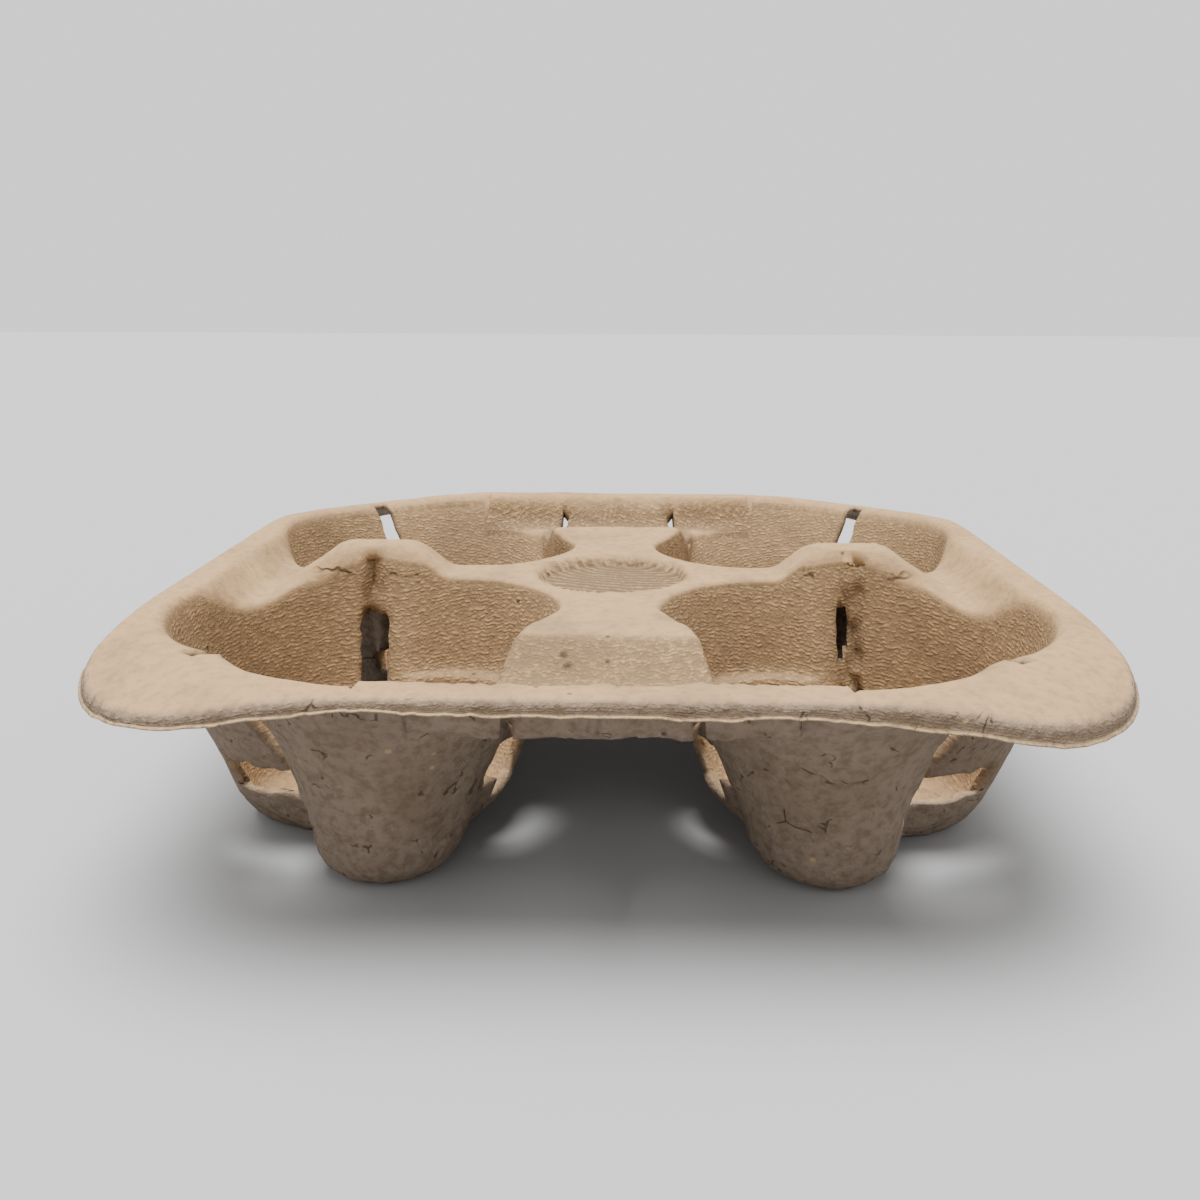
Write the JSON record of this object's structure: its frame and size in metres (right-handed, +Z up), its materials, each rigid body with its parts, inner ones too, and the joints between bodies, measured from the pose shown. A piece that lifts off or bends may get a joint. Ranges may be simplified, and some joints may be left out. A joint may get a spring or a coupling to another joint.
{
  "type": "moulded pulp cup carrier",
  "caption": "Square moulded-pulp tray with slotted, petal-walled cup pockets set round a flat hub, a turned-down rim and raised humps between the side pockets.",
  "frame": {"origin": "on the standing surface, under the middle of the hub", "axes": "+X to the right towards one side arm, +Y to the back towards one end arm, +Z up"},
  "size_m": [0.215, 0.215, 0.06],
  "materials": {
    "pulp": "rough moulded fibre, unprinted"
  },
  "bodies": {
    "root": {"carrier": "pulp"}
  },
  "joints": []
}
